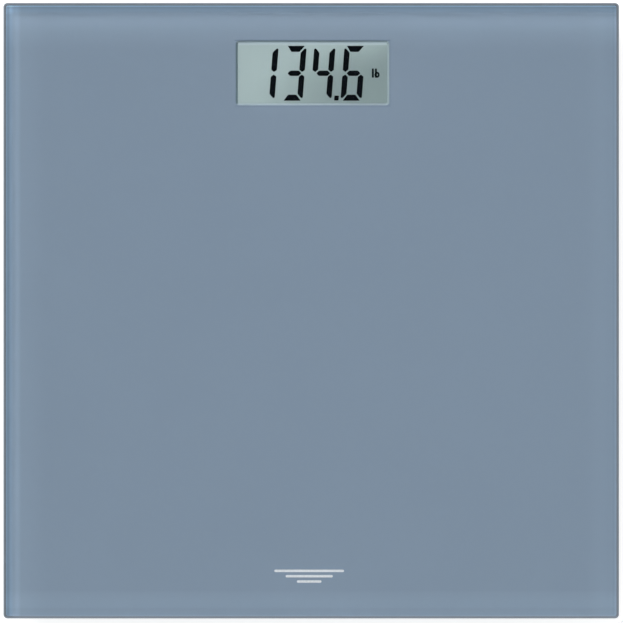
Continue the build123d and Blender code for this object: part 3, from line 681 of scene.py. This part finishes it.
# ================================================================ display reading
DIGIT_HALF_WIDTH = 5.2 * MM
DIGIT_HALF_HEIGHT = 13.4 * MM
STROKE = 2.75 * MM
SLANT = math.tan(math.radians(4.4))
FILM = 0.05 * MM
READING_Y = window_centre.y
# where each digit's middle stands, in mm across from the platform's middle
DIGIT_PLACES = {"1": -22.1, "3": -8.4, "4": 5.7, "6": 20.45}
LIT = {"1": "bc", "3": "abcdg", "4": "bcfg", "6": "acdefg"}


def segment_outlines():
    """The seven segments of one digit, upright, about its own centre."""
    w, h, t = DIGIT_HALF_WIDTH, DIGIT_HALF_HEIGHT, STROKE
    top_foot = h - t - 0.2 * MM
    top = [(-4.1 * MM, h), (4.3 * MM, h), (1.9 * MM, top_foot), (-2.1 * MM, top_foot)]
    upright = [
        (w, 1.6 * MM),
        (w, h - 1.7 * MM),
        (w - 0.35 * MM, h - 1.25 * MM),
        (w - 1.0 * MM, h - 1.4 * MM),
        (w - t, h - 3.4 * MM),
        (w - t, 1.75 * MM),
        (w - 0.5 * t, 0.6 * MM),
    ]
    middle = [
        (-3.2 * MM, 0),
        (-1.9 * MM, -1.3 * MM),
        (2.3 * MM, -1.3 * MM),
        (3.6 * MM, 0),
        (2.3 * MM, 1.3 * MM),
        (-1.9 * MM, 1.3 * MM),
    ]

    def flip(points, x=1, y=1):
        return [(px * x, py * y) for px, py in points]

    return {
        "a": top,
        "b": upright,
        "c": flip(upright, y=-1),
        "d": flip(top, y=-1),
        "e": flip(upright, -1, -1),
        "f": flip(upright, -1),
        "g": middle,
    }


def anticlockwise(points):
    area = sum(a[0] * b[1] - b[0] * a[1] for a, b in zip(points, points[1:] + points[:1]))
    return points if area > 0 else points[::-1]


def reading():
    """The lit segments and the point, as dark films on the polariser."""
    bm = bmesh.new()
    low, high = polariser_top, polariser_top + FILM
    outlines = segment_outlines()
    for digit, centre_x in DIGIT_PLACES.items():
        for name in LIT[digit]:
            slanted = [(x + SLANT * y, y) for x, y in outlines[name]]
            plate(bm, anticlockwise(moved(slanted, centre_x * MM, READING_Y)), low, high)
    point = [(-1.25 * MM, -1.2 * MM), (1.0 * MM, -1.2 * MM), (1.2 * MM, 1.2 * MM), (-1.0 * MM, 1.2 * MM)]
    point_x, point_y = 12.35 * MM, READING_Y - 12.1 * MM
    plate(bm, moved(point, point_x, point_y), low, high)
    softened(bm, 0.32 * MM)
    piece_from(bm, "reading_segments", "platform", [segment_ink])


def unit_sign():
    """A small generic sign for pounds, in plain strokes: two stems, and a bowl on the second."""
    bm = bmesh.new()
    low, high = polariser_top, polariser_top + FILM
    half_width, half_height = 0.5 * MM, 2.2 * MM
    stem = [
        (-half_width, -half_height),
        (half_width, -half_height),
        (half_width, half_height),
        (-half_width, half_height),
    ]
    stem_y = READING_Y + 0.1 * MM
    for stem_x in (30.1 * MM, 31.6 * MM):
        plate(bm, moved(stem, stem_x, stem_y), low, high)
    bowl_x, bowl_y = 32.15 * MM, READING_Y - 0.75 * MM
    narrowing = 0.85
    steps = 20
    rings = []
    for radius in (1.5 * MM, 0.5 * MM):
        arc = []
        for i in range(steps):
            angle = 2 * math.pi * i / steps
            arc.append((radius * narrowing * math.cos(angle), radius * math.sin(angle)))
        arc = moved(arc, bowl_x, bowl_y)
        rings.append((ring(bm, arc, low), ring(bm, arc, high)))
    (outer_low, outer_high), (inner_low, inner_high) = rings
    bridge(bm, outer_low, outer_high)
    bridge(bm, inner_high, inner_low)
    bridge(bm, outer_high, inner_high)
    bridge(bm, inner_low, outer_low)
    bmesh.ops.recalc_face_normals(bm, faces=bm.faces)
    piece_from(bm, "unit_sign", "platform", [sign_ink])


reading()
unit_sign()


# ================================================================ printed ornament
def printed_mark():
    """Three plain bars just over the coat, near the front edge."""
    bm = bmesh.new()
    low = glass_low.z + 0.03 * MM
    high = glass_low.z + 0.05 * MM
    centre_x, centre_y = -1.0 * MM, -129.6 * MM
    half_width, corner = 0.6 * MM, 0.55 * MM
    for half_length, offset in ((17.0, 2.6), (11.5, 0.0), (6.0, -2.6)):
        outline = rounded_loop(half_length * MM, half_width, corner, 4)
        plate(bm, moved(outline, centre_x, centre_y + offset * MM), low, high)
    piece_from(bm, "printed_mark", "platform", [white_ink])


printed_mark()


# ================================================================ moulded arrow on the door
def door_arrow():
    """A raised arrowhead that points at the latch, where the thumb opens the door."""
    bm = bmesh.new()
    high = door_low.z + 0.02 * MM
    low = door_low.z - 0.28 * MM
    half, stroke, tip = 5.0 * MM, 1.5 * MM, door_low.y + 13.5 * MM
    shoulder = tip + 0.8 * half
    outline = [
        (0.0, tip),
        (half, shoulder),
        (half, shoulder + stroke),
        (0.0, tip + stroke),
        (-half, shoulder + stroke),
        (-half, shoulder),
    ]
    plate(bm, outline, low, high)
    softened(bm, 0.2 * MM)
    piece_from(bm, "door_arrow", "door", [abs_door])


door_arrow()


# ================================================================ stage, light and camera
def studio_floor():
    """A pale matt floor that glows a little, and can be seen through from below."""
    reach = 4.0
    mesh = bpy.data.meshes.new("floor")
    bm = bmesh.new()
    bmesh.ops.create_grid(bm, x_segments=1, y_segments=1, size=reach)
    bm.to_mesh(mesh)
    bm.free()
    floor = bpy.data.objects.new("floor", mesh)
    bpy.context.scene.collection.objects.link(floor)
    f = Finish("studio_floor", colour=(0.56, 0.56, 0.56, 1), roughness=0.9, specular=0.1)
    f.shader.inputs["Emission Color"].default_value = (1, 1, 1, 1)
    f.shader.inputs["Emission Strength"].default_value = 0.64
    see_through = f.add("ShaderNodeBsdfTransparent")
    f.send(f.add("ShaderNodeNewGeometry").outputs["Backfacing"], see_through)
    mesh.materials.append(f.material)


def studio_room():
    """An even bright room: a little brighter to the right, and dark straight overhead, by the camera."""
    world = bpy.data.worlds.new("studio")
    bpy.context.scene.world = world
    world.use_nodes = True
    tree = world.node_tree
    background = tree.nodes["Background"]
    direction = tree.nodes.new("ShaderNodeTexCoord")
    split = tree.nodes.new("ShaderNodeSeparateXYZ")
    ramp = tree.nodes.new("ShaderNodeValToRGB")
    one_side = tree.nodes.new("ShaderNodeMapRange")
    dimmed = tree.nodes.new("ShaderNodeVectorMath")
    dimmed.operation = "SCALE"
    tree.links.new(direction.outputs["Generated"], split.inputs[0])
    tree.links.new(split.outputs[2], ramp.inputs[0])
    tree.links.new(split.outputs[0], one_side.inputs[0])
    for socket, value in zip(one_side.inputs[1:5], (-1.0, 1.0, 0.80, 1.08)):
        socket.default_value = value
    tree.links.new(ramp.outputs[0], dimmed.inputs[0])
    tree.links.new(one_side.outputs[0], dimmed.inputs["Scale"])
    tree.links.new(dimmed.outputs[0], background.inputs[0])
    background.inputs[1].default_value = 0.93
    elements = ramp.color_ramp.elements
    elements.new(0.5)
    elements.new(0.5)
    levels = ((0.0, 1.0), (0.6, 0.92), (0.965, 0.86), (0.985, 0.02))
    for element, (height, level) in zip(elements, levels):
        element.position = height
        element.color = solid((level,) * 3)


def key_light():
    """A broad, weak sun from the upper left."""
    sun = bpy.data.lights.new("key", "SUN")
    sun.energy = 1.15
    sun.angle = math.radians(24)
    key = bpy.data.objects.new("key", sun)
    bpy.context.scene.collection.objects.link(key)
    towards_sun = Vector((-0.62, 0.72, 1.0))
    key.rotation_euler = towards_sun.to_track_quat("Z", "Y").to_euler()


def overhead_camera():
    """Straight down, with the platform filling the square picture but for a narrow margin."""
    distance = 1.6
    margin = 303.6 / 300.0
    off_x, off_y = 0.13 * MM, -0.38 * MM
    lens = bpy.data.cameras.new("camera")
    lens.sensor_width = 36.0
    lens.lens = lens.sensor_width * distance / (2 * half_side * margin)
    lens.clip_start, lens.clip_end = 0.05, 20.0
    camera = bpy.data.objects.new("camera", lens)
    bpy.context.scene.collection.objects.link(camera)
    camera.location = (off_x, off_y, glass_high.z - MM + distance)
    camera.rotation_euler = (0, 0, 0)
    bpy.context.scene.camera = camera


studio_floor()
studio_room()
key_light()
overhead_camera()
bpy.context.scene.view_settings.view_transform = "Standard"
